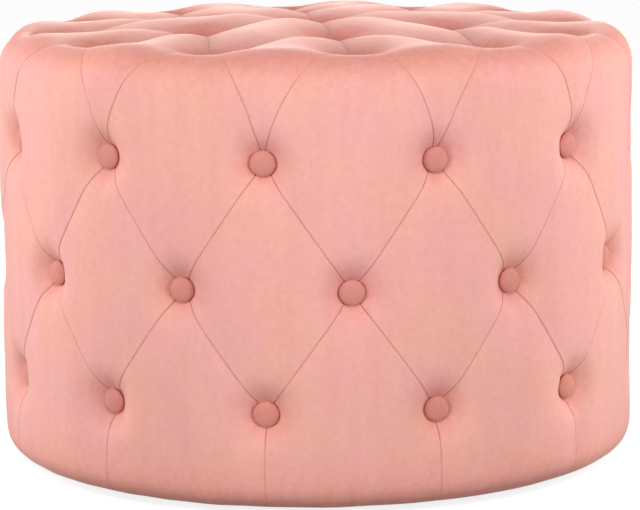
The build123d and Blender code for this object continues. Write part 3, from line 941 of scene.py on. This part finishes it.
# staples that hold it, each a flat crown with its legs in the wood
staple = {
    "crown": mm(10), "width": mm(1.2), "wire": mm(0.6), "bend": mm(0.5), "leg": mm(0.3),
    "spin": 0.15, "seed": 7,
}
stapleShape = bmesh.new()
half, wire, side = staple["crown"] / 2, staple["wire"], staple["width"] / 2
outline = [(-half, -staple["leg"]), (-half, wire - staple["bend"]), (staple["bend"] - half, wire)]
outline += [(-x, z) for x, z in reversed(outline)]
frontRow, backRow = ([stapleShape.verts.new((x, y, z)) for x, z in outline] for y in (-side, side))
stapleShape.faces.new(frontRow)
stapleShape.faces.new(backRow[::-1])
for k in range(len(outline)):
    after = (k + 1) % len(outline)
    stapleShape.faces.new((frontRow[k], backRow[k], backRow[after], frontRow[after]))
bmesh.ops.recalc_face_normals(stapleShape, faces=stapleShape.faces)
stapleMesh = bpy.data.meshes.new("stapleShape")
stapleShape.to_mesh(stapleMesh)
stapleShape.free()
stapleObject = addObject("stapleShape", stapleMesh)
stapleTurns = [2 * math.pi * (k + 0.5) / dustCloth["staples"] for k in range(dustCloth["staples"])]
stapleOut = clothRadius - dustCloth["stapleInset"]
staples = setAt(
    "clothStaples",
    [(stapleOut * math.cos(t), stapleOut * math.sin(t), clothHeight) for t in stapleTurns],
    [(0, 0, -1)] * len(stapleTurns), [(-math.sin(t), math.cos(t), 0) for t in stapleTurns],
    stapleObject, staple["spin"], staple["seed"], zinc,
)
bpy.data.objects.remove(stapleObject)
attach(staples, "root")
print("underside:", len(clothMesh.polygons), "faces of cloth,", dustCloth["staples"], "staples")


# one for what the camera sees, straight or by way of a mirror or glass, and nought for bounced light
def seenByCamera(tree):
    path = addNode(tree, "ShaderNodeLightPath", {}, {})
    mirrored = addNode(
        tree, "ShaderNodeMath", {"operation": "MAXIMUM"},
        {0: path.outputs["Is Glossy Ray"], 1: path.outputs["Is Transmission Ray"]},
    )
    seen = addNode(
        tree, "ShaderNodeMath", {"operation": "MAXIMUM"},
        {0: path.outputs["Is Camera Ray"], 1: mirrored.outputs[0]},
    )
    return seen.outputs[0]


# floor: pale, and lifted to white for the camera so that only the pouf's shadow shows on it
floorFinish = {"reach": 12, "bounced": "#707070", "seen": "#BDBDBD", "lift": 0.8, "roughness": 0.9}
reach = floorFinish["reach"]
floorCorners = [(-reach, -reach, 0), (reach, -reach, 0), (reach, reach, 0), (-reach, reach, 0)]
floorMesh = bpy.data.meshes.new("floor")
floorMesh.from_pydata(floorCorners, [], [(0, 1, 2, 3)])
floor = addObject("floor", floorMesh)
floorPaint, floorTree = newMaterial("floorPaint")
bright = seenByCamera(floorTree)
lift = addNode(floorTree, "ShaderNodeMath", {"operation": "MULTIPLY"}, {0: bright, 1: floorFinish["lift"]})
paint = addNode(
    floorTree, "ShaderNodeMix", {"data_type": "RGBA"},
    {0: bright, 6: linear(floorFinish["bounced"]), 7: linear(floorFinish["seen"])},
)
floorShader = addNode(
    floorTree, "ShaderNodeBsdfPrincipled", {},
    {
        "Base Color": paint.outputs[2], "Roughness": floorFinish["roughness"], "Specular IOR Level": 0.0,
        "Emission Color": (1, 1, 1, 1), "Emission Strength": lift.outputs[0],
    },
)
addNode(floorTree, "ShaderNodeOutputMaterial", {}, {"Surface": floorShader.outputs[0]})
floorMesh.materials.append(floorPaint)

# even studio light, white where the camera sees it
studio = {"horizon": 0.84, "zenith": 0.22, "zenithHeight": 0.8, "softboxGrid": math.radians(80)}
softboxes = {  # place, size, power and the height that each is aimed at, with a grid on its front
    "leftLight": ((-2.55, -1.85, 0.6), (1.8, 1.0), 12.6, 1.1),
    "rightLight": ((2.55, -1.85, 0.6), (1.8, 1.0), 12.6, 1.1),
    "frontLight": ((0.0, -2.4, 2.5), (1.6, 0.8), 5.2, 0.25),
    "leftEdgeLight": ((-2.6, 1.4, 0.9), (1.2, 1.2), 9, 0.4),
    "rightEdgeLight": ((2.6, 1.4, 0.9), (1.2, 1.2), 9, 0.4),
    "backLight": ((0.0, 2.4, 1.7), (3.0, 1.0), 3.5, 0.3),
}
world = bpy.data.worlds.new("studio")
scene.world = world
world.use_nodes = True
worldTree = world.node_tree
worldTree.nodes.clear()
toward = addNode(worldTree, "ShaderNodeTexCoord", {}, {}).outputs["Generated"]
upward = addNode(worldTree, "ShaderNodeSeparateXYZ", {}, {0: toward}).outputs["Z"]
height = addNode(worldTree, "ShaderNodeMath", {"operation": "ABSOLUTE"}, {0: upward})
glow = addNode(
    worldTree, "ShaderNodeMapRange", {"interpolation_type": "SMOOTHSTEP"},
    {0: height.outputs[0], 1: 0.0, 2: studio["zenithHeight"], 3: studio["horizon"], 4: studio["zenith"]},
)
level = addNode(
    worldTree, "ShaderNodeMath", {"operation": "MAXIMUM"}, {0: seenByCamera(worldTree), 1: glow.outputs[0]}
)
sky = addNode(
    worldTree, "ShaderNodeBackground", {}, {"Color": (1, 1, 1, 1), "Strength": level.outputs[0]}
)
addNode(worldTree, "ShaderNodeOutputWorld", {}, {"Surface": sky.outputs[0]})

for name, (place, size, power, aim) in softboxes.items():
    lampData = bpy.data.lights.new(name, "AREA")
    lampData.shape = "RECTANGLE"
    lampData.size, lampData.size_y = size
    lampData.energy = power
    lampData.spread = studio["softboxGrid"]
    lamp = addObject(name, lampData)
    lamp.location = place
    lamp.rotation_euler = (Vector((0, 0, aim)) - lamp.location).to_track_quat("-Z", "Y").to_euler()

# the photograph's view: metres and degrees, with the focal length and width in pixels
view = {
    "distance": 2.7, "height": 0.632, "pitch": 9.457, "yaw": -0.06, "roll": -0.6,
    "focalPixels": 2848.8, "imagePixels": 640, "sensor": 36, "clipEnd": 50,
}
cameraData = bpy.data.cameras.new("camera")
cameraData.sensor_width = view["sensor"]
cameraData.lens = view["focalPixels"] / view["imagePixels"] * view["sensor"]
cameraData.clip_end = view["clipEnd"]
camera = addObject("camera", cameraData)
camera.matrix_world = (
    Matrix.Translation((0, -view["distance"], view["height"]))
    @ Matrix.Rotation(math.radians(view["yaw"]), 4, "Z")
    @ Matrix.Rotation(math.radians(90 - view["pitch"]), 4, "X")
    @ Matrix.Rotation(math.radians(view["roll"]), 4, "Z")
)
scene.camera = camera
print("light and camera set")
